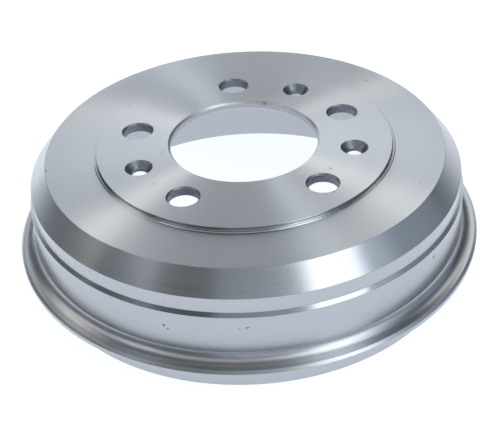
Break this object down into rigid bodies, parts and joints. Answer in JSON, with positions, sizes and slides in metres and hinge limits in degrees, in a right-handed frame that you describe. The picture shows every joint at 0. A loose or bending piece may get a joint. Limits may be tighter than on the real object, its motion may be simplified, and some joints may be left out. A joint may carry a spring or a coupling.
{
  "type": "brake drum",
  "caption": "Open-ended cylindrical brake drum with a flat drilled web, raised wheel face, centre bore, chamfered shoulder, outer flange and lip.",
  "frame": {"origin": "centre of the open end's plane, on the drum's axis", "axes": "+Z along the drum's axis from the open end to the wheel face, +X through the stud hole that lies between two fixing screw holes"},
  "size_m": [0.2982, 0.2982, 0.0767],
  "materials": {
    "machined_iron": "turned all over, bare"
  },
  "bodies": {
    "root": {"brake_drum": "machined_iron"}
  },
  "joints": []
}
